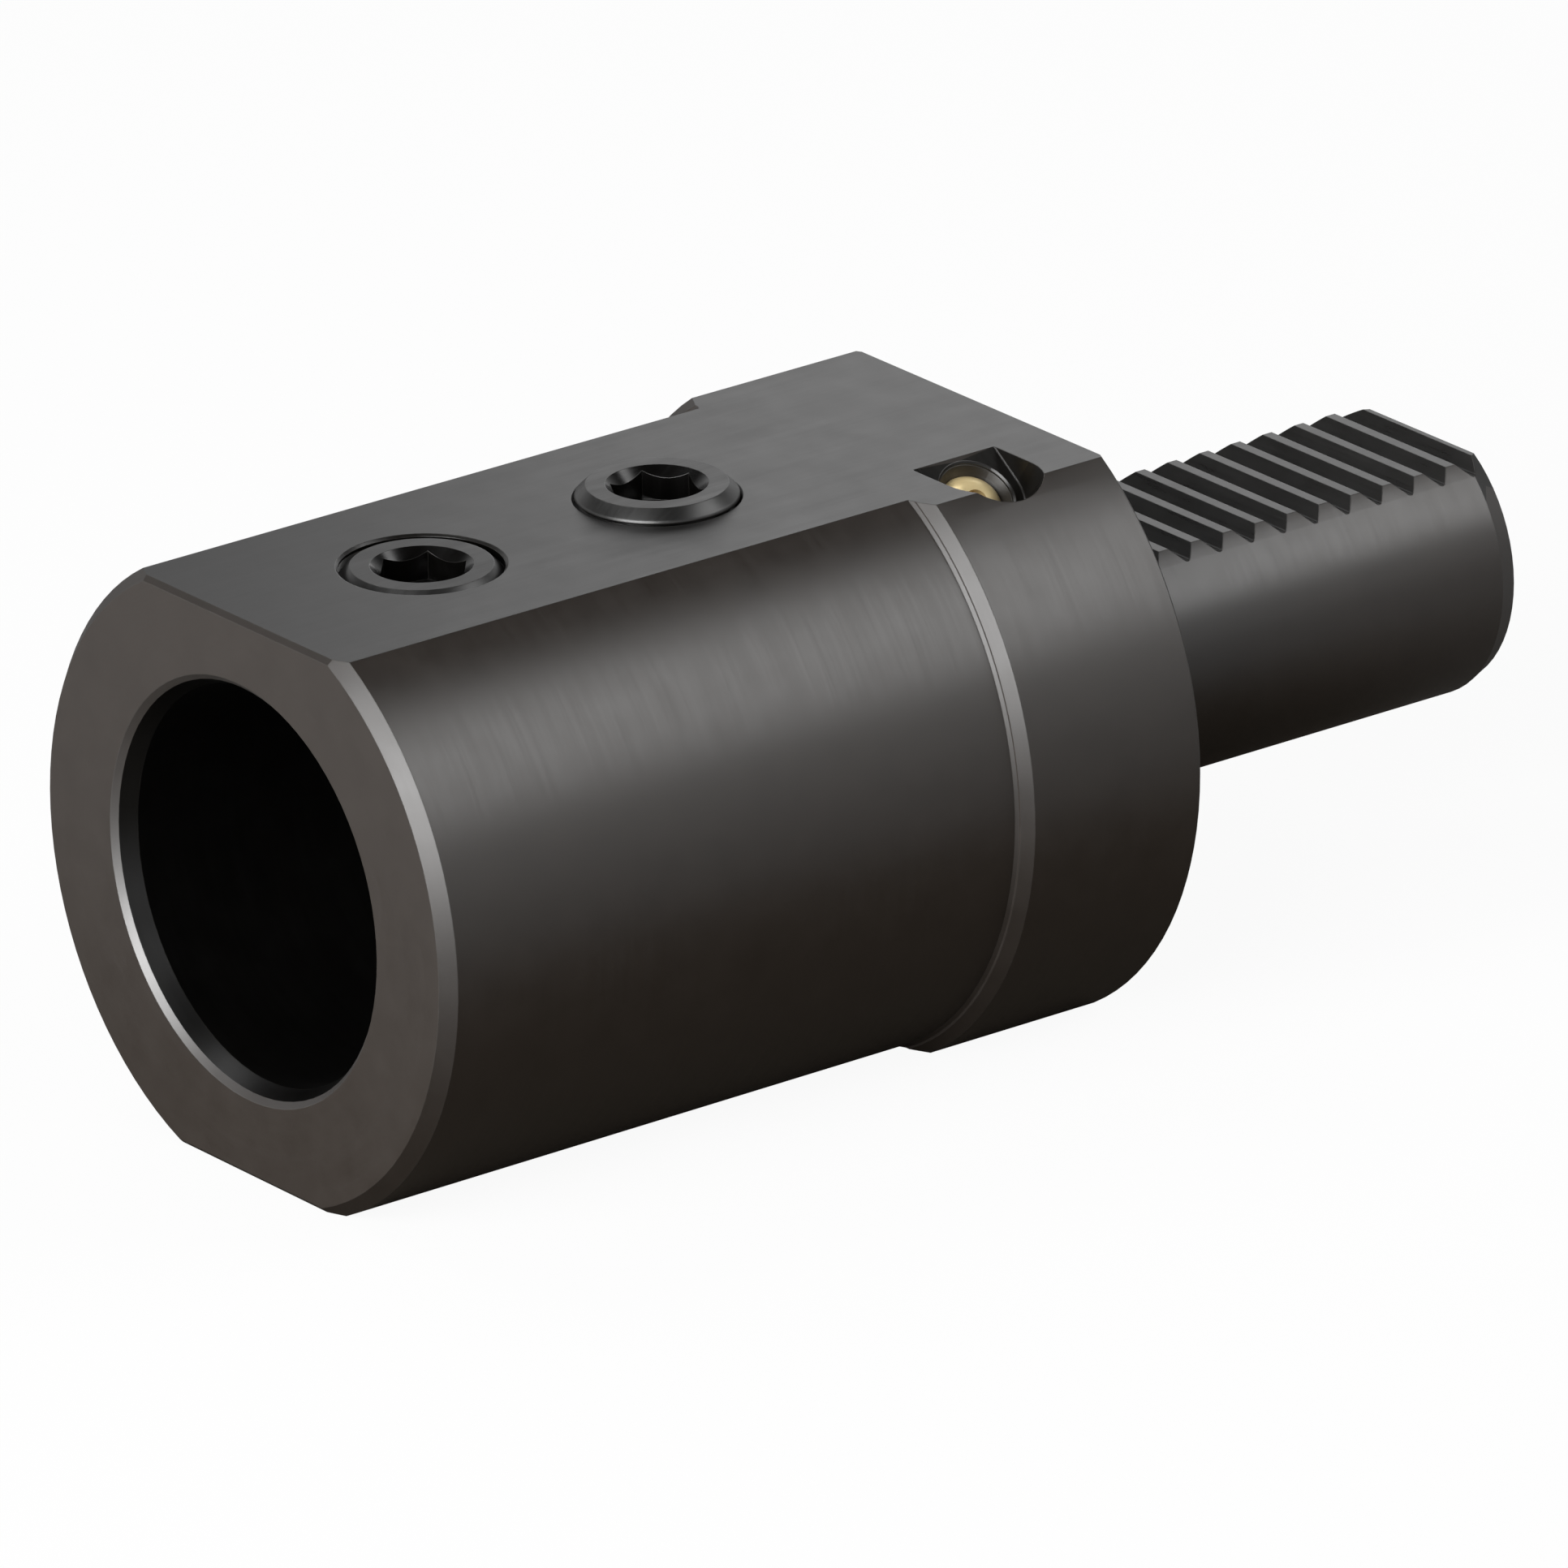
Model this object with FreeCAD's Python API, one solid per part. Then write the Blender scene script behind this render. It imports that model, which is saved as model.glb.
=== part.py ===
import FreeCAD, Part
import math
import os

# Boring bar holder with a serrated cylindrical shank, all lengths in millimetres.
# The origin is the centre of the flange's rear locating face.
# +X runs out along the shank, the tool bore opens at the -X end, and +Z is the side
# with the clamp screws and the shank's teeth.

V = FreeCAD.Vector

# Turned outline
SHANK_D = 30.0
SHANK_LENGTH = 55.0
SHANK_LEAD_LENGTH = 2.0
SHANK_LEAD_DEPTH = 0.75
FLANGE_D = 68.0
FLANGE_THICKNESS = 21.5
FLANGE_FRONT_CHAMFER = 1.0
FLANGE_REAR_CHAMFER = 0.3
BODY_D = 65.0
PROJECTION_LENGTH = 90.0
BODY_CHAMFER = 1.3
STEP_BEVEL = 0.3
RELIEF_WIDTH = 0.8
RELIEF_DEPTH = 0.5

# Milled flats, measured from the axis
TOP_FLAT_HEIGHT = 28.0
BOTTOM_FLAT_DEPTH = 29.5
FLAT_EDGE_CHAMFER = 0.5

# Tool bore, with a short chamfer and a lead-in cone at its mouth
BORE_D = 40.0
BORE_DEPTH = 72.0
BORE_MOUTH_CHAMFER = 0.6
BORE_LEAD_STEP = 0.8
BORE_LEAD_LENGTH = 1.7

# Passage through the shank, closed by a threaded plug
PASSAGE_D = 10.5
PLUG_THREAD_D = 12.0
PLUG_LENGTH = 8.0
PLUG_RECESS = 1.0
PLUG_HEX = 6.0
PLUG_SOCKET_DEPTH = 4.0
PLUG_SOCKET_MOUTH_D = 7.5
PLUG_CHAMFER = 0.6

# Teeth across the shank's top flat
TOOTH_PITCH = 4.0
TOOTH_COUNT = 11
TOOTH_CREST_HEIGHT = 11.7
TOOTH_CREST_LAND = 1.13
TOOTH_FLANK_ANGLE = 90.0
TOOTH_ROOT_RADIUS = 0.5
TOOTH_REFERENCE = 29.7
REFERENCE_GROOVE = 4
TOOTH_RUN_IN = 2.6

# Clamp screws through the top flat
SCREW_THREAD_D = 16.0
SCREW_LENGTH = 7.5
SCREW_TOP_CHAMFER = 1.05
SCREW_TIP_CHAMFER = 1.0
SCREW_HEX = 8.0
SCREW_SOCKET_DEPTH = 5.6
SCREW_MOUTH_D = 10.0
SCREW_HOLE_CHAMFER = 0.25
FRONT_SCREW_INSET = 22.2
SCREW_SPACING = 28.3
FRONT_SCREW_PROTRUSION = 0.0
REAR_SCREW_PROTRUSION = 1.4
FRONT_SCREW_TURN = 46.0
REAR_SCREW_TURN = 11.0

# Coolant pocket in the flange, an obround slot whose floor slopes down to -Y
POCKET_INSET = 11.4
POCKET_WIDTH = 10.0
POCKET_EDGE_OFFSET = 10.3
POCKET_SLOPE = 35.0
POCKET_RUN = 4.5
POCKET_FLOOR_BEVEL = 0.12

# Coolant nozzle on the pocket floor's normal, depths measured from that floor
BALL_D = 7.2
BALL_DEPTH = 3.2
JET_D = 2.2
JET_TILT = 16.0
JET_TURN = 50.0
NOZZLE_BORE_D = 7.6
NOZZLE_MOUTH_CHAMFER = 0.2
RING_TOP_DEPTH = 0.3
RING_STEP_DEPTH = 0.95
RING_STEP_D = 6.72
RING_LIP_D = 6.2
RING_BOTTOM_DEPTH = 2.5
SEAL_TOP_DEPTH = 4.8
SEAL_BOTTOM_DEPTH = 6.9
CHANNEL_D = 4.4
PORT_D = 4.5
PORT_DEPTH_FROM_FLOOR = 9.0
PORT_CHAMFER = 0.4

# Fits, as radial clearances
THREAD_CLEARANCE = 0.05
BALL_CLEARANCE = 0.04
PRESS_ALLOWANCE = 0.01
SEAL_CLEARANCE = 0.02

# Values worked out from the ones above
shank_r = SHANK_D / 2
flange_r = FLANGE_D / 2
body_r = BODY_D / 2
bore_r = BORE_D / 2
front_x = -PROJECTION_LENGTH
flange_front_x = -FLANGE_THICKNESS
front_screw_x = front_x + FRONT_SCREW_INSET
rear_screw_x = front_screw_x + SCREW_SPACING
bore_bottom_x = front_x + BORE_DEPTH
groove_half = (TOOTH_PITCH - TOOTH_CREST_LAND) / 2
first_groove_x = TOOTH_REFERENCE - groove_half / 2 - REFERENCE_GROOVE * TOOTH_PITCH
tooth_flat_x = first_groove_x - TOOTH_RUN_IN
screw_hole_r = SCREW_THREAD_D / 2 + THREAD_CLEARANCE
plug_bore_r = PLUG_THREAD_D / 2 + THREAD_CLEARANCE
plug_outer_x = SHANK_LENGTH - PLUG_RECESS
plug_inner_x = plug_outer_x - PLUG_LENGTH
ball_r = BALL_D / 2
nozzle_bore_r = NOZZLE_BORE_D / 2
ring_r = nozzle_bore_r - PRESS_ALLOWANCE
socket_r = ball_r + BALL_CLEARANCE
nozzle_bore_depth = SEAL_BOTTOM_DEPTH + SEAL_CLEARANCE

# Cutting tools start this far outside the faces that they cut
OVERRUN = 5.0

slope = math.radians(POCKET_SLOPE)
pocket_x = -POCKET_INSET
floor_edge = V(pocket_x, -POCKET_EDGE_OFFSET, TOP_FLAT_HEIGHT)
down_slope = V(0, -math.cos(slope), -math.sin(slope))
floor_normal = V(0, -math.sin(slope), math.cos(slope))
nozzle_top = floor_edge + down_slope * POCKET_RUN


def revolved(points, arcs=()):
    """Turn a closed (x, r) outline about the X axis; arcs maps a start index to a mid point."""
    mids = dict(arcs)
    edges = []
    for i, (x, r) in enumerate(points):
        next_x, next_r = points[(i + 1) % len(points)]
        start = V(x, 0, r)
        end = V(next_x, 0, next_r)
        if i in mids:
            mid_x, mid_r = mids[i]
            edges.append(Part.Arc(start, V(mid_x, 0, mid_r), end).toShape())
        else:
            edges.append(Part.LineSegment(start, end).toShape())
    face = Part.Face(Part.Wire(edges))
    return face.revolve(V(0, 0, 0), V(1, 0, 0), 360)


def on_nozzle_axis(shape):
    """Move a shape turned about X so that +X becomes the depth below the pocket floor."""
    turn = FreeCAD.Rotation(V(1, 0, 0), floor_normal * -1)
    moved = shape.copy()
    moved.Placement = FreeCAD.Placement(nozzle_top, turn)
    return moved


def hexagon_prism(across_flats, depth, turn):
    """Hexagonal prism on +Z from the origin down, with a corner at the given angle."""
    corner_r = across_flats / math.sqrt(3)
    corners = []
    for i in range(7):
        angle = math.radians(turn + 60 * i)
        corners.append(V(corner_r * math.cos(angle), corner_r * math.sin(angle), 0))
    return Part.Face(Part.makePolygon(corners)).extrude(V(0, 0, -depth))


def socket_cut(across_flats, depth, mouth_d, turn):
    """Hexagon socket from z = 0 down, with a 45 degree mouth and a drilled bottom."""
    corner_r = across_flats / math.sqrt(3)
    flat_r = across_flats / 2
    drill_depth = flat_r * math.tan(math.radians(30))
    prism_depth = depth - drill_depth
    prism = hexagon_prism(across_flats, prism_depth, turn)
    drill = Part.makeCone(flat_r, 0, drill_depth, V(0, 0, -prism_depth), V(0, 0, -1))
    mouth_r = mouth_d / 2
    mouth_depth = mouth_r - flat_r
    mouth = Part.makeCone(mouth_r, flat_r, mouth_depth, V(0, 0, 0), V(0, 0, -1))
    return prism.fuse([drill, mouth])


def turned_blank():
    """Body, flange and shank in one outline; the shank's round foot and toothed length are two faces."""
    points = [
        (front_x, 0),
        (front_x, body_r - BODY_CHAMFER),
        (front_x + BODY_CHAMFER, body_r),
        (flange_front_x - STEP_BEVEL, body_r),
        (flange_front_x, body_r + STEP_BEVEL),
        (flange_front_x, flange_r - FLANGE_FRONT_CHAMFER),
        (flange_front_x + FLANGE_FRONT_CHAMFER, flange_r),
        (-FLANGE_REAR_CHAMFER, flange_r),
        (0, flange_r - FLANGE_REAR_CHAMFER),
        (0, shank_r + RELIEF_WIDTH),
        (-RELIEF_DEPTH, shank_r + RELIEF_WIDTH),
        (-RELIEF_DEPTH, shank_r),
        (tooth_flat_x, shank_r),
        (SHANK_LENGTH - SHANK_LEAD_LENGTH, shank_r),
        (SHANK_LENGTH, shank_r - SHANK_LEAD_DEPTH),
        (SHANK_LENGTH, 0),
    ]
    return revolved(points)


def flat_cutters():
    """Blocks that mill the top and bottom flats, each with a bevelled front edge."""
    width = FLANGE_D + 2 * OVERRUN
    cutters = []
    for side, height in ((1, TOP_FLAT_HEIGHT), (-1, BOTTOM_FLAT_DEPTH)):
        far = flange_r + OVERRUN
        outline = [
            V(0, 0, side * height),
            V(front_x + FLAT_EDGE_CHAMFER, 0, side * height),
            V(front_x, 0, side * (height - FLAT_EDGE_CHAMFER)),
            V(front_x - OVERRUN, 0, side * (height - FLAT_EDGE_CHAMFER - OVERRUN)),
            V(front_x - OVERRUN, 0, side * far),
            V(0, 0, side * far),
        ]
        outline.append(outline[0])
        face = Part.Face(Part.makePolygon(outline))
        face.translate(V(0, -width / 2, 0))
        cutters.append(face.extrude(V(0, width, 0)))
    return cutters


def bore_cutter():
    """Tool bore, shank passage and plug thread hole on the axis."""
    mouth_x = front_x + BORE_MOUTH_CHAMFER
    lead_r = bore_r + BORE_LEAD_STEP
    lead_end_x = mouth_x + BORE_LEAD_LENGTH
    passage_r = PASSAGE_D / 2
    bevel_x = SHANK_LENGTH - PLUG_CHAMFER
    mouth_r = plug_bore_r + PLUG_CHAMFER
    points = [
        (front_x - OVERRUN, 0),
        (front_x - OVERRUN, lead_r + BORE_MOUTH_CHAMFER + OVERRUN),
        (mouth_x, lead_r),
        (lead_end_x, bore_r),
        (bore_bottom_x, bore_r),
        (bore_bottom_x, passage_r),
        (plug_inner_x, passage_r),
        (plug_inner_x, plug_bore_r),
        (bevel_x, plug_bore_r),
        (SHANK_LENGTH, mouth_r),
        (SHANK_LENGTH + OVERRUN, mouth_r),
        (SHANK_LENGTH + OVERRUN, 0),
    ]
    return revolved(points)


def tooth_cutter():
    """Everything above the shank's toothed flat, as one profile swept across the shank."""
    half_angle = math.radians(TOOTH_FLANK_ANGLE / 2)
    apex_depth = groove_half / math.tan(half_angle)
    tangent_run = TOOTH_ROOT_RADIUS / math.tan(half_angle)
    tangent_x = tangent_run * math.sin(half_angle)
    tangent_z = TOOTH_CREST_HEIGHT - apex_depth + tangent_run * math.cos(half_angle)
    root_rise = TOOTH_ROOT_RADIUS * (1 / math.sin(half_angle) - 1)
    root_z = TOOTH_CREST_HEIGHT - apex_depth + root_rise
    rise = shank_r + OVERRUN - TOOTH_CREST_HEIGHT
    end_x = SHANK_LENGTH + OVERRUN
    edges = []
    pen = V(tooth_flat_x - rise, 0, TOOTH_CREST_HEIGHT + rise)
    start = pen

    def line_to(x, z):
        nonlocal pen
        end = V(x, 0, z)
        edges.append(Part.LineSegment(pen, end).toShape())
        pen = end

    line_to(tooth_flat_x, TOOTH_CREST_HEIGHT)
    for i in range(TOOTH_COUNT):
        groove_x = first_groove_x + i * TOOTH_PITCH
        line_to(groove_x - groove_half, TOOTH_CREST_HEIGHT)
        line_to(groove_x - tangent_x, tangent_z)
        end = V(groove_x + tangent_x, 0, tangent_z)
        edges.append(Part.Arc(pen, V(groove_x, 0, root_z), end).toShape())
        pen = end
        line_to(groove_x + groove_half, TOOTH_CREST_HEIGHT)
    line_to(end_x, TOOTH_CREST_HEIGHT)
    line_to(end_x, start.z)
    line_to(start.x, start.z)
    face = Part.Face(Part.Wire(edges))
    face.translate(V(0, -SHANK_D, 0))
    return face.extrude(V(0, 2 * SHANK_D, 0))


def screw_hole_cutter(x):
    """Tapped hole from the top flat into the tool bore, with a broken edge."""
    depth = TOP_FLAT_HEIGHT
    hole = Part.makeCylinder(screw_hole_r, depth, V(x, 0, 0))
    edge = Part.makeCone(
        screw_hole_r,
        screw_hole_r + SCREW_HOLE_CHAMFER + OVERRUN,
        SCREW_HOLE_CHAMFER + OVERRUN,
        V(x, 0, TOP_FLAT_HEIGHT - SCREW_HOLE_CHAMFER),
    )
    return hole.fuse(edge)


def pocket_cutter():
    """Obround end mill cut on the slope, with the cutter's small corner bevel."""
    half = POCKET_WIDTH / 2
    height = FLANGE_D / 2
    start_u = -POCKET_WIDTH
    edges = [
        Part.LineSegment(V(start_u, -half, 0), V(POCKET_RUN, -half, 0)).toShape(),
        Part.Arc(V(POCKET_RUN, -half, 0), V(POCKET_RUN + half, 0, 0), V(POCKET_RUN, half, 0)).toShape(),
        Part.LineSegment(V(POCKET_RUN, half, 0), V(start_u, half, 0)).toShape(),
        Part.LineSegment(V(start_u, half, 0), V(start_u, -half, 0)).toShape(),
    ]
    block = Part.Face(Part.Wire(edges)).extrude(V(0, 0, height))
    floor_edges = [e for e in block.Edges if e.BoundBox.ZMax < height / 2]
    block = block.makeChamfer(POCKET_FLOOR_BEVEL, floor_edges)
    across = floor_normal.cross(down_slope)
    turn = FreeCAD.Rotation(down_slope, across, floor_normal, "ZXY")
    block.Placement = FreeCAD.Placement(floor_edge, turn)
    return block


def nozzle_cutter():
    """Stepped bore for ball, ring and seal, and the channel on to the shank passage."""
    channel_r = CHANNEL_D / 2
    mouth_r = nozzle_bore_r + NOZZLE_MOUTH_CHAMFER
    channel_end = nozzle_top.dot(floor_normal)
    points = [
        (-OVERRUN / 2, 0),
        (-OVERRUN / 2, mouth_r),
        (0, mouth_r),
        (NOZZLE_MOUTH_CHAMFER, nozzle_bore_r),
        (nozzle_bore_depth, nozzle_bore_r),
        (nozzle_bore_depth, channel_r),
        (channel_end, channel_r),
        (channel_end, 0),
    ]
    return on_nozzle_axis(revolved(points))


def port_cutter():
    """Coolant port from the flange's rear face to the nozzle channel."""
    meet = nozzle_top - floor_normal * PORT_DEPTH_FROM_FLOOR
    port_r = PORT_D / 2
    bore = Part.makeCylinder(port_r, OVERRUN - meet.x, meet, V(1, 0, 0))
    chamfer_start = V(-PORT_CHAMFER, meet.y, meet.z)
    edge = Part.makeCone(port_r, port_r + PORT_CHAMFER, PORT_CHAMFER, chamfer_start, V(1, 0, 0))
    return bore.fuse(edge)


def holder_body():
    body = turned_blank().cut(flat_cutters())
    body = body.cut([bore_cutter(), tooth_cutter()])
    body = body.cut([screw_hole_cutter(front_screw_x), screw_hole_cutter(rear_screw_x)])
    return body.cut([pocket_cutter(), nozzle_cutter(), port_cutter()])


def clamp_screw(x, protrusion, turn):
    """Socket set screw; its top face stands above the flat by the protrusion."""
    radius = SCREW_THREAD_D / 2
    points = [
        (0, 0),
        (0, radius - SCREW_TOP_CHAMFER),
        (SCREW_TOP_CHAMFER, radius),
        (SCREW_LENGTH - SCREW_TIP_CHAMFER, radius),
        (SCREW_LENGTH, radius - SCREW_TIP_CHAMFER),
        (SCREW_LENGTH, 0),
    ]
    screw = revolved(points)
    screw.rotate(V(0, 0, 0), V(0, 1, 0), 90)
    screw = screw.cut(socket_cut(SCREW_HEX, SCREW_SOCKET_DEPTH, SCREW_MOUTH_D, turn))
    screw.translate(V(x, 0, TOP_FLAT_HEIGHT + protrusion))
    return screw


def nozzle_ball():
    """Ball with a jet hole that leans off the floor's normal, towards the tool and the open side."""
    ball = Part.makeSphere(ball_r)
    tilt = math.radians(JET_TILT)
    turn = math.radians(JET_TURN)
    lean = V(-math.cos(turn), 0, 0) + down_slope * math.sin(turn)
    jet = floor_normal * math.cos(tilt) + lean * math.sin(tilt)
    hole = Part.makeCylinder(JET_D / 2, 2 * BALL_D, jet * -BALL_D, jet)
    ball = ball.cut(hole)
    ball.translate(nozzle_top - floor_normal * BALL_DEPTH)
    return ball


def nozzle_ring():
    """Pressed ring whose lip holds the ball down on its seal."""

    def socket_point(angle):
        return (BALL_DEPTH - socket_r * math.cos(angle), socket_r * math.sin(angle))

    lip_angle = math.asin(RING_LIP_D / 2 / socket_r)
    bottom_angle = math.acos((BALL_DEPTH - RING_BOTTOM_DEPTH) / socket_r)
    points = [
        (RING_TOP_DEPTH, ring_r),
        (RING_BOTTOM_DEPTH, ring_r),
        socket_point(bottom_angle),
        socket_point(lip_angle),
        (RING_STEP_DEPTH, RING_STEP_D / 2),
    ]
    socket_mid = socket_point((lip_angle + bottom_angle) / 2)
    return on_nozzle_axis(revolved(points, {2: socket_mid}))


def nozzle_seal():
    """Moulded ring whose 45 degree seat touches the ball from below."""
    outer_r = nozzle_bore_r - SEAL_CLEARANCE
    inner_r = CHANNEL_D / 2
    seat_sum = BALL_DEPTH + (ball_r + SEAL_CLEARANCE) * math.sqrt(2)
    points = [
        (SEAL_TOP_DEPTH, outer_r),
        (SEAL_TOP_DEPTH, seat_sum - SEAL_TOP_DEPTH),
        (seat_sum - inner_r, inner_r),
        (SEAL_BOTTOM_DEPTH, inner_r),
        (SEAL_BOTTOM_DEPTH, outer_r),
    ]
    return on_nozzle_axis(revolved(points))


def shank_plug():
    """Socket plug that closes the shank passage."""
    radius = PLUG_THREAD_D / 2
    chamfer = PLUG_CHAMFER
    points = [
        (0, 0),
        (0, radius - chamfer),
        (chamfer, radius),
        (PLUG_LENGTH - chamfer, radius),
        (PLUG_LENGTH, radius - chamfer),
        (PLUG_LENGTH, 0),
    ]
    plug = revolved(points)
    socket = socket_cut(PLUG_HEX, PLUG_SOCKET_DEPTH, PLUG_SOCKET_MOUTH_D, 0)
    socket.rotate(V(0, 0, 0), V(0, 1, 0), 90)
    socket.translate(V(PLUG_LENGTH, 0, 0))
    plug = plug.cut(socket)
    plug.translate(V(plug_inner_x, 0, 0))
    return plug


def main():
    os.makedirs("parts", exist_ok=True)
    parts = {
        "holder_body": holder_body(),
        "clamp_screw_front": clamp_screw(front_screw_x, FRONT_SCREW_PROTRUSION, FRONT_SCREW_TURN),
        "clamp_screw_rear": clamp_screw(rear_screw_x, REAR_SCREW_PROTRUSION, REAR_SCREW_TURN),
        "nozzle_ball": nozzle_ball(),
        "nozzle_ring": nozzle_ring(),
        "nozzle_seal": nozzle_seal(),
        "shank_plug": shank_plug(),
    }
    for name, shape in parts.items():
        print(name, "valid", shape.isValid(), "solids", len(shape.Solids), "volume", round(shape.Volume, 1))
        shape.exportStep("parts/" + name + ".step")


main()
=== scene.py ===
import math

import bmesh
import bpy
from mathutils import Matrix, Vector


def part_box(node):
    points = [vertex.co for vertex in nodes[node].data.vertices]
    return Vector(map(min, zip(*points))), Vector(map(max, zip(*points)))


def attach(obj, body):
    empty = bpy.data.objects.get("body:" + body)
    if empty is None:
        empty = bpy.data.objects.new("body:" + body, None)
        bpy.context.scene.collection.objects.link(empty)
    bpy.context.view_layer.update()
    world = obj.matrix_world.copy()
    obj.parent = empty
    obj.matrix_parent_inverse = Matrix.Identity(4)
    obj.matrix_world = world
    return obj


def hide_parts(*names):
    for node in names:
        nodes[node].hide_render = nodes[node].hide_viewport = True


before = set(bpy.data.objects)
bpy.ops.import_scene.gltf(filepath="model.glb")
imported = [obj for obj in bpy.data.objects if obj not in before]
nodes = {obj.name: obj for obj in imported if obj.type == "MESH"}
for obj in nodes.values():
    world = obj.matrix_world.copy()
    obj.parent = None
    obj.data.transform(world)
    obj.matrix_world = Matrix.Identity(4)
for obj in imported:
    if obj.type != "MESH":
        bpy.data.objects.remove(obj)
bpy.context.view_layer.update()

MM = 0.001

# Sizes of the object, in millimetres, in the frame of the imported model
SHANK_R = 15.0
BORE_R = 20.0
TOP_FLAT_Z = 28.0
BOTTOM_FLAT_Z = -29.5
FLANGE_R = 34.0
POCKET_X = (-16.5, -6.0)

# Clamp screws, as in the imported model, with a thread cut into their cylinder
SCREW_R = 8.0
SCREW_LENGTH = 7.5
SCREW_TOP_CHAMFER = 1.05
SCREW_EDGE_ROUND = 0.45
SCREW_TIP_CHAMFER = 1.0
SCREW_HEX = 8.0
SCREW_MOUTH_R = 5.0
SCREW_SOCKET_DEPTH = 5.6
SCREW_SOCKET_LOOPS = 4
SCREW_DRILL_TIP_R = 0.02
SCREW_DRILL_SLOPE = 30.0
SCREW_ROUND_STEPS = (45, 30, 15, 0)
SCREW_SHARP_ANGLE = 24.0
SCREW_MERGE_GAP = 0.0005
SCREW_TURNS = {"clamp_screw_front": 46.0, "clamp_screw_rear": 11.0}
SCREW_BODIES = {"clamp_screw_front": "front_screw", "clamp_screw_rear": "rear_screw"}
SCREW_HOLE_R = 8.05
THREAD_PITCH = 1.5
THREAD_DEPTH = 0.92
THREAD_RUN_OUT = 0.7
THREAD_SEGMENTS = 96
THREAD_PROFILE = ((0.0, 0.0), (0.125, 0.0), (0.243, 0.333), (0.361, 0.667), (0.479, 1.0),
                  (0.646, 1.0), (0.764, 0.667), (0.882, 0.333))

# Camera, from the fit to the photograph
IMAGE_SIZE = 1932
CAMERA_AZIMUTH = -37.249
CAMERA_ELEVATION = 21.37
CAMERA_ROLL = -1.12
CAMERA_DISTANCE = 2333.0
CAMERA_FOCAL_PIXELS = 29547.4
CAMERA_AIM = Vector((-10.0, 0.0, 0.0))
CAMERA_SHIFT_RIGHT = -11.659
CAMERA_SHIFT_UP = -8.574
CAMERA_CLIP = (0.05, 50.0)
SENSOR_WIDTH = 36.0

# Lamps: direction from the object, distance, width and height in metres, and radiance
LAMPS = {
    "right_lamp": ((0.5958, -0.5249, 0.6080), 1.2, (0.76, 0.64), 2.85),
    "left_lamp": ((-0.8571, -0.3217, 0.4024), 1.2, (0.94, 0.81), 8.3),
    "back_lamp": ((0.6780, 0.6288, 0.3806), 0.6, (0.32, 0.32), 0.8),
    "top_lamp": ((-0.16, 0.48, 0.87), 0.6, (0.28, 0.28), 2.6),
}

# World light, between two elevations in degrees
HORIZON_LIGHT = 0.70
ZENITH_LIGHT = 0.01
FADE_START = 10.5
FADE_END = 35.0

# Floor: gap and reaches in millimetres, radius in metres; what the camera sees, and what other rays see,
# where a painted shadow darkens it near the object
FLOOR_GAP = 0.1
FLOOR_RADIUS = 4.0
FLOOR_SEGMENTS = 96
FLOOR_SEEN_COLOUR = 0.9
FLOOR_WHITE_SEEN = 0.93
# Painted shadow: the floor colour that reflected rays see close to the object
FLOOR_PAINTED_SHADOW_COLOUR = (0.088, 0.075, 0.061)
FLOOR_FAR_COLOUR = (0.34, 0.34, 0.34)
FLOOR_NEAR_REACH = 79.0
FLOOR_FAR_REACH = 161.0
FLOOR_CENTRE_X = -30.0

# Where the body's regions begin: margins in millimetres, and parts of the unit normal
RIM_MARGIN = 0.2
FLAT_MARGIN = 0.1
SHANK_MARGIN = 0.05
HOLE_WALL_MARGIN = 0.1
HOLE_WALL_LOWEST_Z = BORE_R - 6
HOLE_CHAMFER_WIDTH = 0.3
HOLE_CHAMFER_DEPTH = 0.5
TEETH_START_X = 1
TEETH_LOWEST_Z = 9
FLAT_NEAREST_R = SHANK_R + 2
WALL_NORMAL_Z = 0.3
LAND_NORMAL_Z = 0.99
FLAT_NORMAL_Z = 0.999
FACE_NORMAL_X = 0.95
MOUTH_NORMAL_X = 0.6
CHAMFER_NORMAL_X = 0.3

# Finishes: noise scales per metre, depths of relief in millimetres, and how far the roughness varies
NOISE_ROUGHNESS = 0.55
LAY_COARSE = 90.0
BROAD_FINE_SHARE = 0.15
BROAD_COARSE_SHARE = 0.6
BROAD_RELIEF_SHARE = 0.5
MOTTLE_SCALE = 240.0
MOTTLE_SPREAD = 0.02
WEAR_SHARE = (0.25, 0.8)
WEAR_DOT = (0.93, 0.998)
WORN_COLOUR = (0.055, 0.052, 0.048)
BEVEL_SAMPLES = 6
STEEL_RELIEF = 0.02
TAPPED_COLOUR = (0.010, 0.009, 0.007, 1.0)
TAPPED_ROUGHNESS = 0.35
METAL_GRAIN_SCALE = 5000.0
METAL_CLOUD_SCALE = 400.0
METAL_SPREAD = 0.03
METAL_BUMP = 0.03
METAL_RELIEF = 0.01


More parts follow.
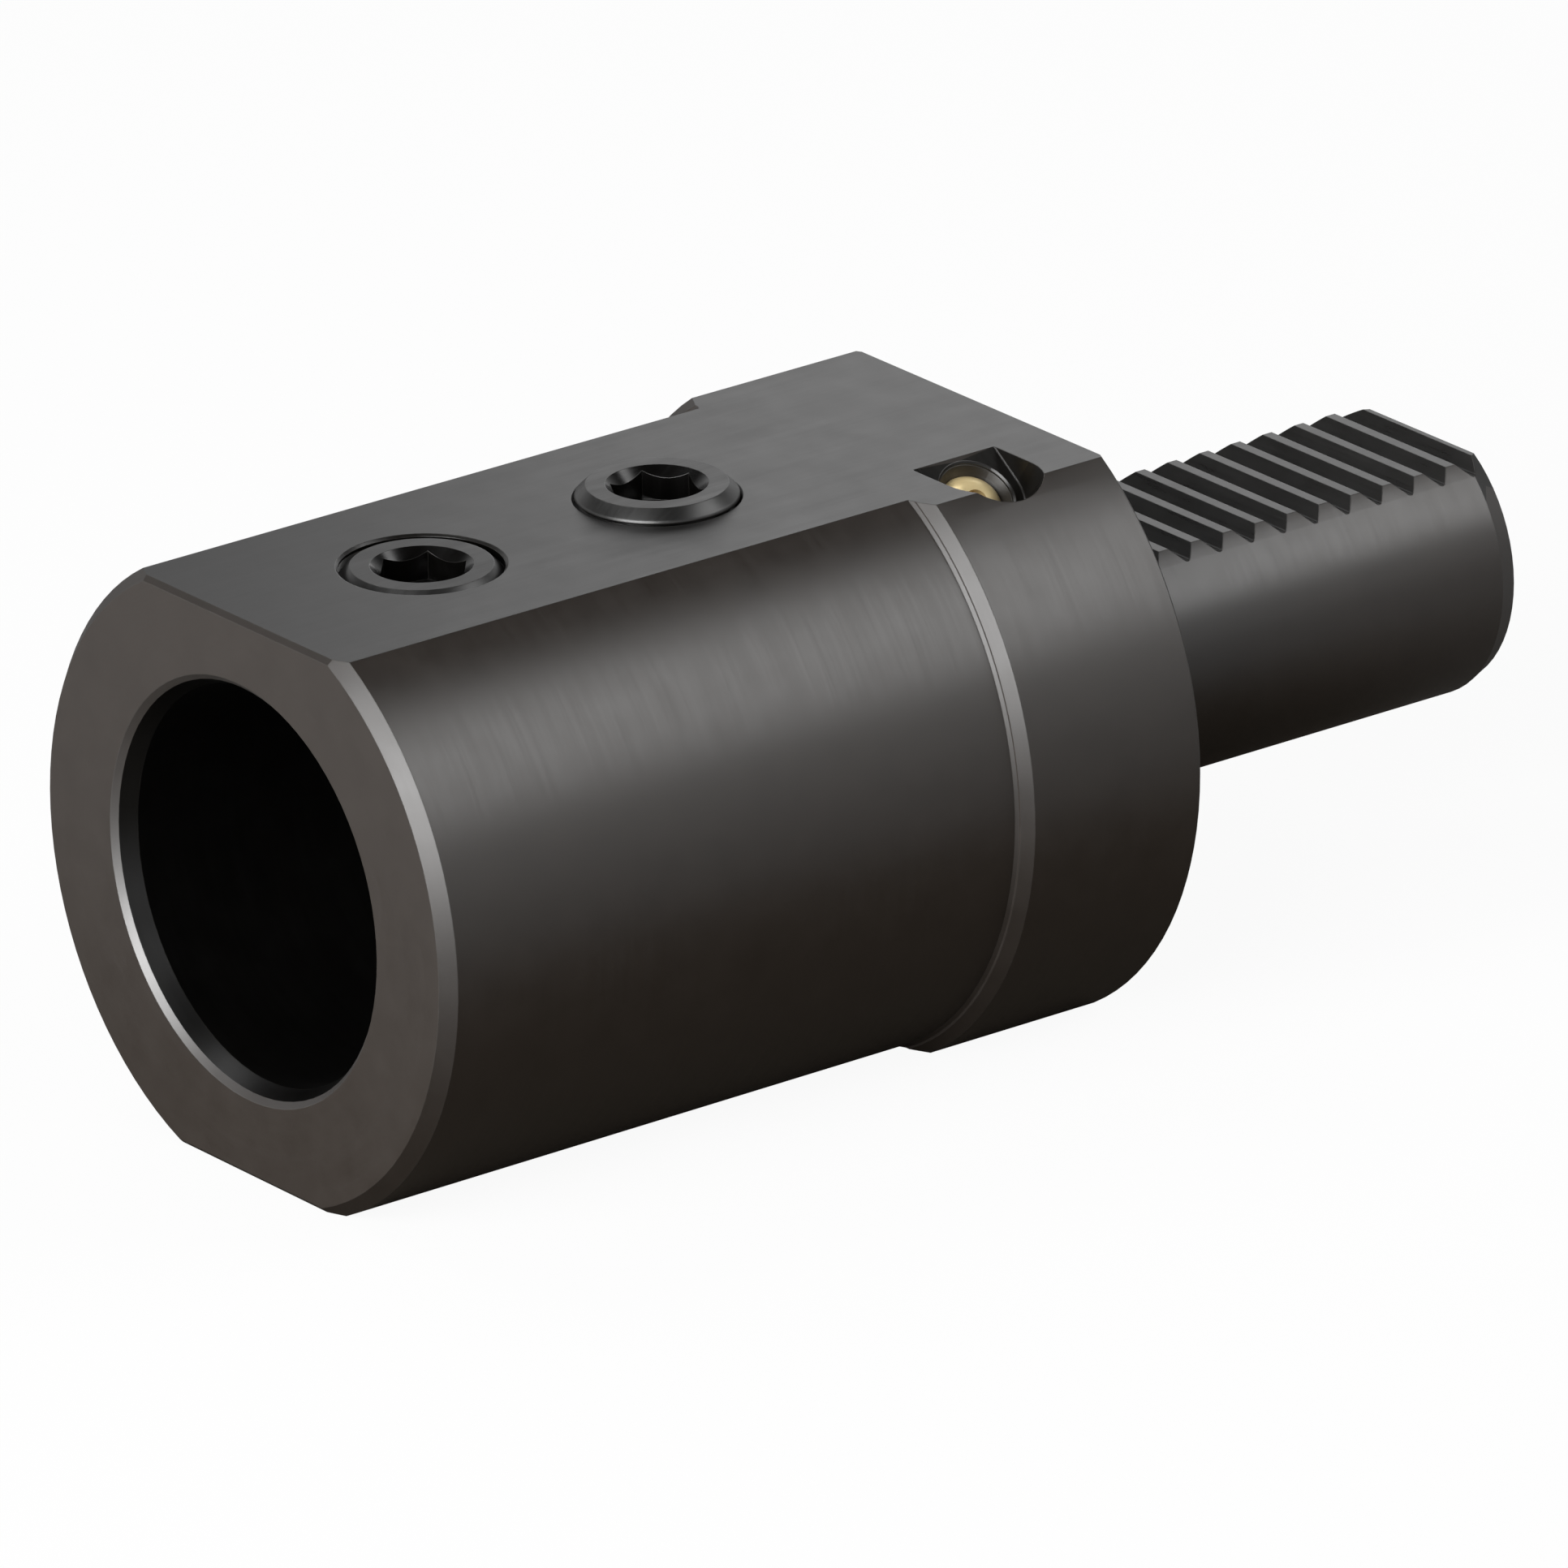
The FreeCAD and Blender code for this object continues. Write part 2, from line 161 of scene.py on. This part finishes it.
class Nodes:
    """A shader node tree with short calls for the nodes that the materials share."""

    def __init__(self, name):
        self.material = bpy.data.materials.new(name)
        self.material.use_nodes = True
        self.tree = self.material.node_tree
        self.tree.nodes.clear()
        self.output = self.add("ShaderNodeOutputMaterial")

    def add(self, kind, **settings):
        node = self.tree.nodes.new(kind)
        for key, value in settings.items():
            setattr(node, key, value)
        return node

    def link(self, source, target):
        self.tree.links.new(source, target)

    def feed(self, socket, value):
        if isinstance(value, (int, float)):
            socket.default_value = value
        elif value is not None:
            self.link(value, socket)

    def math(self, operation, a, b=None):
        node = self.add("ShaderNodeMath", operation=operation)
        self.feed(node.inputs[0], a)
        self.feed(node.inputs[1], b)
        return node.outputs[0]

    def position(self):
        return self.add("ShaderNodeTexCoord").outputs["Object"]

    def axes(self):
        split = self.add("ShaderNodeSeparateXYZ")
        self.link(self.position(), split.inputs[0])
        return split.outputs

    def vector(self, x, y, z):
        join = self.add("ShaderNodeCombineXYZ")
        for socket, value in zip(join.inputs, (x, y, z)):
            self.feed(socket, value)
        return join.outputs[0]

    def noise(self, vector, scale=1.0, detail=3.0):
        node = self.add("ShaderNodeTexNoise")
        node.inputs["Scale"].default_value = scale
        node.inputs["Detail"].default_value = detail
        node.inputs["Roughness"].default_value = NOISE_ROUGHNESS
        self.link(vector, node.inputs["Vector"])
        return node.outputs["Fac"]

    def ramp(self, value, low, high, start=0.3, end=0.7):
        """Map a value between start and end to the range from low to high."""
        node = self.add("ShaderNodeMapRange")
        node.inputs["From Min"].default_value = start
        node.inputs["From Max"].default_value = end
        node.inputs["To Min"].default_value = low
        node.inputs["To Max"].default_value = high
        self.link(value, node.inputs["Value"])
        return node.outputs["Result"]

    def mix_colour(self, factor, dark, light):
        """Mix two colours, each a tuple or the output of another node."""
        node = self.add("ShaderNodeMix", data_type="RGBA")
        self.feed(node.inputs["Factor"], factor)
        for key, colour in (("A", dark), ("B", light)):
            socket = [s for s in node.inputs if s.name == key and s.type == "RGBA"][0]
            if isinstance(colour, tuple):
                socket.default_value = (*colour, 1.0)
            else:
                self.link(colour, socket)
        return [s for s in node.outputs if s.type == "RGBA"][0]

    def rounded_normal(self, radius):
        edge = self.add("ShaderNodeBevel", samples=BEVEL_SAMPLES)
        edge.inputs["Radius"].default_value = radius * MM
        return edge.outputs[0]

    def edge_wear(self, rounded):
        """0 on flat areas, up to 1 where the rounded normal leaves the face's own."""
        dot = self.add("ShaderNodeVectorMath", operation="DOT_PRODUCT")
        self.link(rounded, dot.inputs[0])
        self.link(self.add("ShaderNodeNewGeometry").outputs["True Normal"], dot.inputs[1])
        return self.ramp(dot.outputs["Value"], 1.0, 0.0, *WEAR_DOT)

    def relief(self, height, depth, strength=1.0, normal=None):
        """The normal of a bump of a depth in millimetres, laid over another normal where one is given."""
        node = self.add("ShaderNodeBump")
        node.inputs["Strength"].default_value = strength
        node.inputs["Distance"].default_value = depth * MM
        self.link(height, node.inputs["Height"])
        self.feed(node.inputs["Normal"], normal)
        return node.outputs[0]

    def finish(self, shader, normal=None):
        """Put a shader on the surface and return the material."""
        if normal is not None:
            self.link(normal, shader.inputs["Normal"])
        self.link(shader.outputs[0], self.output.inputs["Surface"])
        return self.material


def radius_of(tree, a, b):
    return tree.math("SQRT", tree.math("ADD", tree.math("MULTIPLY", a, a), tree.math("MULTIPLY", b, b)))


def lay_vector(tree, lay, fine, coarse):
    """Coordinates that run fast across the tool marks and slowly along them."""
    x, y, z = tree.axes()
    if lay == "along_x":
        scaled = ((x, coarse), (y, fine), (z, coarse))
    elif lay == "along_y":
        scaled = ((x, fine), (y, coarse), (z, coarse))
    else:
        scaled = ((radius_of(tree, y, z), fine), (y, coarse), (z, coarse))
    return tree.vector(*(tree.math("MULTIPLY", axis, scale) for axis, scale in scaled))


def black_steel(name, lay, rough, fine=9000.0, marks=0.015, bump=0.05, ior=1.8, edge=0.12,
                dark=(0.0115, 0.0081, 0.0058), light=(0.0180, 0.0130, 0.0096)):
    """Black oxide on machined steel: tool marks, slight mottling, and edges rubbed a little brighter."""
    tree = Nodes(name)
    shader = tree.add("ShaderNodeBsdfPrincipled")
    shader.inputs["IOR"].default_value = ior
    fine_marks = tree.noise(lay_vector(tree, lay, fine, LAY_COARSE))
    broad_lay = lay_vector(tree, lay, fine * BROAD_FINE_SHARE, LAY_COARSE * BROAD_COARSE_SHARE)
    broad_marks = tree.noise(broad_lay, detail=2.0)
    mottle = tree.noise(tree.position(), scale=MOTTLE_SCALE, detail=5.0)
    rounded = tree.rounded_normal(edge)
    wear = tree.math("MULTIPLY", tree.edge_wear(rounded), tree.ramp(mottle, *WEAR_SHARE))
    oxide = tree.mix_colour(mottle, dark, light)
    tree.link(tree.mix_colour(wear, oxide, WORN_COLOUR), shader.inputs["Base Color"])
    streaks = tree.math("ADD", tree.ramp(fine_marks, -marks, marks), tree.ramp(broad_marks, -marks, marks))
    cloudy = tree.ramp(mottle, rough - MOTTLE_SPREAD, rough + MOTTLE_SPREAD)
    tree.link(tree.math("ADD", streaks, cloudy), shader.inputs["Roughness"])
    height = tree.math("ADD", fine_marks, tree.math("MULTIPLY", broad_marks, BROAD_RELIEF_SHARE))
    return tree.finish(shader, tree.relief(height, STEEL_RELIEF, bump, rounded))


def tapped_steel(name, centre_x):
    """The wall of a tapped hole: the thread is a helical wave in the normal."""
    tree = Nodes(name)
    shader = tree.add("ShaderNodeBsdfPrincipled")
    shader.inputs["Base Color"].default_value = TAPPED_COLOUR
    shader.inputs["Roughness"].default_value = TAPPED_ROUGHNESS
    x, y, z = tree.axes()
    angle = tree.math("ARCTAN2", y, tree.math("SUBTRACT", x, centre_x * MM))
    turns = tree.math("DIVIDE", angle, 2 * math.pi)
    along = tree.math("SUBTRACT", tree.math("DIVIDE", z, THREAD_PITCH * MM), turns)
    wave = tree.math("PINGPONG", along, 0.5)
    return tree.finish(shader, tree.relief(tree.math("MULTIPLY", wave, 2.0), THREAD_DEPTH))


def metal(name, dark, light, rough, metallic):
    """Bare metal with a fine grain and a slight clouding."""
    tree = Nodes(name)
    shader = tree.add("ShaderNodeBsdfPrincipled")
    shader.inputs["Metallic"].default_value = metallic
    grain = tree.noise(tree.position(), scale=METAL_GRAIN_SCALE)
    cloud = tree.noise(tree.position(), scale=METAL_CLOUD_SCALE, detail=4.0)
    tree.link(tree.mix_colour(cloud, dark, light), shader.inputs["Base Color"])
    tree.link(tree.ramp(grain, rough - METAL_SPREAD, rough + METAL_SPREAD), shader.inputs["Roughness"])
    return tree.finish(shader, tree.relief(grain, METAL_RELIEF, METAL_BUMP))


def screw_centre(name):
    """The middle of a screw's top face, in millimetres."""
    low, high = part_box(name)
    return (low[0] + high[0]) / 2 / MM, (low[1] + high[1]) / 2 / MM, high[2] / MM


def paint_body(body):
    """Give each region of the body its own finish, by where a face lies and which way it looks; the bore's
    finish is darkened with painted shade.
    """
    hole_x = {name: screw_centre(name)[0] for name in SCREW_TURNS}
    finishes = {
        "turned": black_steel("turned_steel", "along_y", 0.36),
        "faced": black_steel("faced_steel", "round_x", 0.455, fine=5000.0, bump=0.08,
                             dark=(0.0265, 0.0205, 0.0165), light=(0.0375, 0.0300, 0.0248)),
        "ground": black_steel("ground_steel", "along_x", 0.34, fine=7000.0, marks=0.012, bump=0.03,
                              dark=(0.0062, 0.0060, 0.0057), light=(0.0102, 0.0098, 0.0094)),
        "milled": black_steel("milled_steel", "along_y", 0.31, fine=5000.0, marks=0.03, bump=0.1, ior=1.6,
                              dark=(0.0022, 0.0018, 0.0013), light=(0.0042, 0.0035, 0.0026)),
        "edge": black_steel("edge_steel", "along_y", 0.45, marks=0.01),
        "mouth": black_steel("mouth_steel", "along_y", 0.50, marks=0.01, ior=2.4),
        # The bore's steel is far darker than the outside: painted shade deep in the bore
        "bore_painted_shade": black_steel("bore_painted_shade_steel", "along_y", 0.35, ior=1.5,
                             dark=(0.0006, 0.0005, 0.0004), light=(0.0012, 0.001, 0.0008)),
        "tapped_front": tapped_steel("tapped_steel_front", hole_x["clamp_screw_front"]),
        "tapped_rear": tapped_steel("tapped_steel_rear", hole_x["clamp_screw_rear"]),
    }
    order = list(finishes)
    body.data.materials.clear()
    for finish in finishes.values():
        body.data.materials.append(finish)
    for face in body.data.polygons:
        place = face.center / MM
        face.material_index = order.index(body_finish(place, face.normal, hole_x))


def body_finish(place, normal, hole_x):
    """Name of the finish for a face of the body, from its middle and its normal."""
    x, y, z = place
    radius = math.hypot(y, z)
    outward = normal.y * y + normal.z * z > 0
    inside = radius < FLANGE_R - RIM_MARGIN and BORE_R < z < TOP_FLAT_Z - FLAT_MARGIN
    if inside and POCKET_X[0] < x < POCKET_X[1] and y < 0:
        return "milled"
    for name, finish in (("clamp_screw_front", "tapped_front"), ("clamp_screw_rear", "tapped_rear")):
        from_wall = math.hypot(x - hole_x[name], y) - SCREW_HOLE_R
        upright = abs(normal.z) < WALL_NORMAL_Z
        if abs(from_wall) < HOLE_WALL_MARGIN and upright and z > HOLE_WALL_LOWEST_Z:
            return finish
        if 0 < from_wall < HOLE_CHAMFER_WIDTH and TOP_FLAT_Z - HOLE_CHAMFER_DEPTH < z < TOP_FLAT_Z:
            return "milled"
    if x > TEETH_START_X and z > TEETH_LOWEST_Z and radius < SHANK_R - SHANK_MARGIN:
        return "ground" if normal.z > LAND_NORMAL_Z else "milled"
    if abs(normal.x) > FACE_NORMAL_X:
        return "faced"
    if abs(normal.z) > FLAT_NORMAL_Z and radius > FLAT_NEAREST_R and outward:
        return "ground"
    if abs(normal.x) > MOUTH_NORMAL_X and radius > BORE_R and not outward:
        return "mouth"
    if abs(normal.x) > CHAMFER_NORMAL_X and outward:
        return "edge"
    # Faces inside the bore take the finish with painted shade
    return "turned" if outward else "bore_painted_shade"


def paint(node, material):
    """One material for a whole node."""
    node.data.materials.clear()
    node.data.materials.append(material)
    for face in node.data.polygons:
        face.material_index = 0


def ring_of(shape, centre, radii, depths, angles):
    """One loop of vertices round the screw's axis, at a depth below its top face."""
    loop = []
    for radius, depth, angle in zip(radii, depths, angles):
        spot = Vector((radius * math.cos(angle), radius * math.sin(angle), -depth))
        loop.append(shape.verts.new((centre + spot) * MM))
    return loop


def skin(shape, lower, upper, material=0):
    """Faces between two loops of the same length."""
    count = len(lower)
    for i in range(count):
        j = (i + 1) % count
        face = shape.faces.new((lower[i], lower[j], upper[j], upper[i]))
        face.material_index = material


def thread_top():
    """Depth of the rounded edge's lower end, where the screw's side begins."""
    return SCREW_TOP_CHAMFER + SCREW_EDGE_ROUND * math.tan(math.pi / 8)


def thread_radius(turn, depth):
    """Radius of the screw's side, where the groove fades in below the top chamfer and out at the tip."""
    phase = turn % 1.0
    points = THREAD_PROFILE + ((1.0, 0.0),)
    share = 0.0
    for (start, low), (end, high) in zip(points, points[1:]):
        if start <= phase <= end:
            share = low + (high - low) * (phase - start) / (end - start)
            break
    from_top = (depth - thread_top()) / THREAD_RUN_OUT
    from_tip = (SCREW_LENGTH - SCREW_TIP_CHAMFER - depth) / THREAD_RUN_OUT
    fade = max(0.0, min(1.0, from_top, from_tip))
    return SCREW_R - THREAD_DEPTH * share * fade


def thread_loops(shape, centre, angles):
    """Rows that follow the helix, held between the two chamfers where they run past them."""
    top = thread_top()
    tip = SCREW_LENGTH - SCREW_TIP_CHAMFER
    first = math.floor(top / THREAD_PITCH) - 1
    last = math.ceil(tip / THREAD_PITCH) + 1
    loops = []
    for turn in range(first, last):
        for phase, _ in THREAD_PROFILE:
            loop = []
            for i in range(THREAD_SEGMENTS + 1):
                depth = (turn + phase + i / THREAD_SEGMENTS) * THREAD_PITCH
                held = max(top, min(tip, depth))
                radius = thread_radius(held / THREAD_PITCH - i / THREAD_SEGMENTS, held)
                angle = angles[i % THREAD_SEGMENTS]
                spot = Vector((radius * math.cos(angle), radius * math.sin(angle), -held))
                loop.append(shape.verts.new((centre + spot) * MM))
            loops.append(loop)
    for upper, lower in zip(loops, loops[1:]):
        for i in range(THREAD_SEGMENTS):
            shape.faces.new((lower[i], lower[i + 1], upper[i + 1], upper[i]))


def make_screw(name, outside, socket):
    """Socket set screw with a cut thread, a hexagon socket with a coned mouth, and a drilled bottom."""
    centre = Vector(screw_centre(name))
    count = THREAD_SEGMENTS
    start = math.radians(SCREW_TURNS[name])
    angles = [start + 2 * math.pi * i / count for i in range(count)]
    flat_r = SCREW_HEX / 2
    sector = math.pi / 3
    hexagon = [flat_r / math.cos((angle - start) % sector - sector / 2) for angle in angles]
    drill = flat_r * math.tan(math.radians(SCREW_DRILL_SLOPE))
    prism = SCREW_SOCKET_DEPTH - drill
    tip = SCREW_LENGTH - SCREW_TIP_CHAMFER
    shape = bmesh.new()

    def loop(radius, depth):
        radii = radius if isinstance(radius, list) else [radius] * count
        depths = depth if isinstance(depth, list) else [depth] * count
        return ring_of(shape, centre, radii, depths, angles)

    loops = [
        loop(SCREW_DRILL_TIP_R, SCREW_SOCKET_DEPTH),
        loop(flat_r, prism),
        loop(hexagon, prism),
        loop(hexagon, [SCREW_MOUTH_R - r for r in hexagon]),
        loop(SCREW_MOUTH_R, 0.0),
        loop(SCREW_R - SCREW_TOP_CHAMFER, 0.0),
    ]
    for degrees in SCREW_ROUND_STEPS:
        turn = math.radians(degrees)
        loops.append(loop(SCREW_R - SCREW_EDGE_ROUND * (1 - math.cos(turn)),
                          thread_top() - SCREW_EDGE_ROUND * math.sin(turn)))
    # The drilled bottom, hexagon socket and coned mouth take the second slot, whose darker colour is
    # painted shade
    for i, (inner, outer) in enumerate(zip(loops, loops[1:])):
        skin(shape, outer, inner, material=1 if i < SCREW_SOCKET_LOOPS else 0)
    shape.faces.new(loops[0]).material_index = 1
    thread_loops(shape, centre, angles)
    edge = loop(SCREW_R, tip)
    rim = loop(SCREW_R - SCREW_TIP_CHAMFER, SCREW_LENGTH)
    skin(shape, rim, edge)
    shape.faces.new(list(reversed(rim)))
    bmesh.ops.remove_doubles(shape, verts=shape.verts, dist=SCREW_MERGE_GAP * MM)
    bmesh.ops.recalc_face_normals(shape, faces=shape.faces)
    for face in shape.faces:
        face.smooth = True
    mesh = bpy.data.meshes.new(name + "_threaded")
    shape.to_mesh(mesh)
    shape.free()
    mesh.set_sharp_from_angle(angle=math.radians(SCREW_SHARP_ANGLE))
    mesh.materials.append(outside)
    mesh.materials.append(socket)
    screw = bpy.data.objects.new(name + "_threaded", mesh)
    bpy.context.scene.collection.objects.link(screw)
    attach(screw, SCREW_BODIES[name])
    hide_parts(name)


def side_axes(back):
    """Right and up of something that looks against a direction."""
    right = Vector((0, 0, 1)).cross(back).normalized()
    return right, back.cross(right)


def make_camera():
    """The camera that the fit gives, turned about its own axis and set off its aim."""
    azimuth = math.radians(CAMERA_AZIMUTH)
    elevation = math.radians(CAMERA_ELEVATION)
    roll = math.radians(CAMERA_ROLL)
    back = Vector((
        math.sin(azimuth) * math.cos(elevation),
        -math.cos(azimuth) * math.cos(elevation),
        math.sin(elevation),
    ))
    right, up = side_axes(back)
    tilted_right = math.cos(roll) * right + math.sin(roll) * up
    tilted_up = -math.sin(roll) * right + math.cos(roll) * up
    aim = CAMERA_AIM + CAMERA_SHIFT_RIGHT * tilted_right + CAMERA_SHIFT_UP * tilted_up
    data = bpy.data.cameras.new("camera")
    data.sensor_width = SENSOR_WIDTH
    data.lens = SENSOR_WIDTH * CAMERA_FOCAL_PIXELS / IMAGE_SIZE
    data.clip_start, data.clip_end = CAMERA_CLIP
    camera = bpy.data.objects.new("camera", data)
    bpy.context.scene.collection.objects.link(camera)
    turn = Matrix((tilted_right, tilted_up, back)).transposed().to_4x4()
    camera.matrix_world = Matrix.Translation((aim + CAMERA_DISTANCE * back) * MM) @ turn
    bpy.context.scene.camera = camera


def make_lamp(name, direction, distance, size, radiance):
    """A soft box that faces the object."""
    data = bpy.data.lights.new(name, "AREA")
    data.shape = "RECTANGLE"
    data.size, data.size_y = size
    data.energy = radiance * math.pi * size[0] * size[1]
    lamp = bpy.data.objects.new(name, data)
    lamp.visible_camera = False
    bpy.context.scene.collection.objects.link(lamp)
    back = Vector(direction).normalized()
    right, up = side_axes(back)
    turn = Matrix((right, up, back)).transposed().to_4x4()
    lamp.matrix_world = Matrix.Translation(back * distance) @ turn


def make_world():
    """Pale surroundings that darken towards the zenith."""
    world = bpy.data.worlds.new("studio")
    bpy.context.scene.world = world
    world.use_nodes = True
    tree = world.node_tree
    tree.nodes.clear()
    coords = tree.nodes.new("ShaderNodeTexCoord")
    split = tree.nodes.new("ShaderNodeSeparateXYZ")
    tree.links.new(coords.outputs["Generated"], split.inputs[0])
    fade = tree.nodes.new("ShaderNodeMapRange")
    fade.interpolation_type = "SMOOTHSTEP"
    fade.inputs["From Min"].default_value = math.sin(math.radians(FADE_START))
    fade.inputs["From Max"].default_value = math.sin(math.radians(FADE_END))
    fade.inputs["To Min"].default_value = HORIZON_LIGHT
    fade.inputs["To Max"].default_value = ZENITH_LIGHT
    tree.links.new(split.outputs["Z"], fade.inputs["Value"])
    background = tree.nodes.new("ShaderNodeBackground")
    tree.links.new(fade.outputs["Result"], background.inputs["Strength"])
    output = tree.nodes.new("ShaderNodeOutputWorld")
    tree.links.new(background.outputs[0], output.inputs["Surface"])


def make_floor():
    """Floor that camera rays alone see as nearly white; to other rays it shows a painted shadow, dark near
    the object.
    """
    mesh = bpy.data.meshes.new("floor")
    shape = bmesh.new()
    bmesh.ops.create_circle(shape, cap_ends=True, segments=FLOOR_SEGMENTS, radius=FLOOR_RADIUS)
    shape.to_mesh(mesh)
    shape.free()
    floor = bpy.data.objects.new("floor", mesh)
    floor.location.z = (BOTTOM_FLAT_Z - FLOOR_GAP) * MM
    bpy.context.scene.collection.objects.link(floor)
    tree = Nodes("floor_paper")
    seen = tree.add("ShaderNodeLightPath").outputs["Is Camera Ray"]
    x, y, _ = tree.axes()
    away = radius_of(tree, tree.math("SUBTRACT", x, FLOOR_CENTRE_X * MM), y)
    far = tree.ramp(away, 0.0, 1.0, start=FLOOR_NEAR_REACH * MM, end=FLOOR_FAR_REACH * MM)
    # Painted shadow for reflected rays: dark within the near reach of the object, fading to the far colour
    # farther off
    mirrored_painted_shadow = tree.mix_colour(far, FLOOR_PAINTED_SHADOW_COLOUR, FLOOR_FAR_COLOUR)
    paper = tree.add("ShaderNodeBsdfDiffuse")
    tree.link(tree.mix_colour(seen, mirrored_painted_shadow, (FLOOR_SEEN_COLOUR,) * 3), paper.inputs["Color"])
    white = tree.add("ShaderNodeEmission")
    mix = tree.add("ShaderNodeMixShader")
    tree.link(tree.math("MULTIPLY", seen, FLOOR_WHITE_SEEN), mix.inputs[0])
    tree.link(paper.outputs[0], mix.inputs[1])
    tree.link(white.outputs[0], mix.inputs[2])
    mesh.materials.append(tree.finish(mix))


def main():
    bpy.context.scene.view_settings.view_transform = "Standard"
    make_camera()
    for name, (direction, distance, size, radiance) in LAMPS.items():
        make_lamp(name, direction, distance, size, radiance)
    make_world()
    make_floor()
    paint_body(nodes["holder_body"])
    screw_steel = black_steel("screw_steel", "along_x", 0.37, fine=4000.0, marks=0.03, bump=0.08,
                              dark=(0.0024, 0.0023, 0.0021), light=(0.0045, 0.0043, 0.0040))
    # The socket's steel is darker than the screw's outside: painted shade in the hexagon socket
    socket_painted_shade_steel = black_steel("socket_painted_shade_steel", "along_x", 0.22, fine=4000.0, marks=0.02, edge=0.05, ior=1.6,
                               dark=(0.0008, 0.0007, 0.0006), light=(0.0016, 0.0014, 0.0012))
    for name in SCREW_TURNS:
        make_screw(name, screw_steel, socket_painted_shade_steel)
    paint(nodes["shank_plug"], screw_steel)
    paint(nodes["nozzle_ball"], metal("ball_brass", (0.98, 0.75, 0.37), (1.00, 0.84, 0.47), 0.32, 0.35))
    paint(nodes["nozzle_ring"], black_steel("ring_steel", "along_y", 0.42, marks=0.02, ior=1.6,
                                            dark=(0.010, 0.0075, 0.0045), light=(0.018, 0.0135, 0.0085)))
    paint(nodes["nozzle_seal"], black_steel("seal_rubber", "along_y", 0.7))


main()
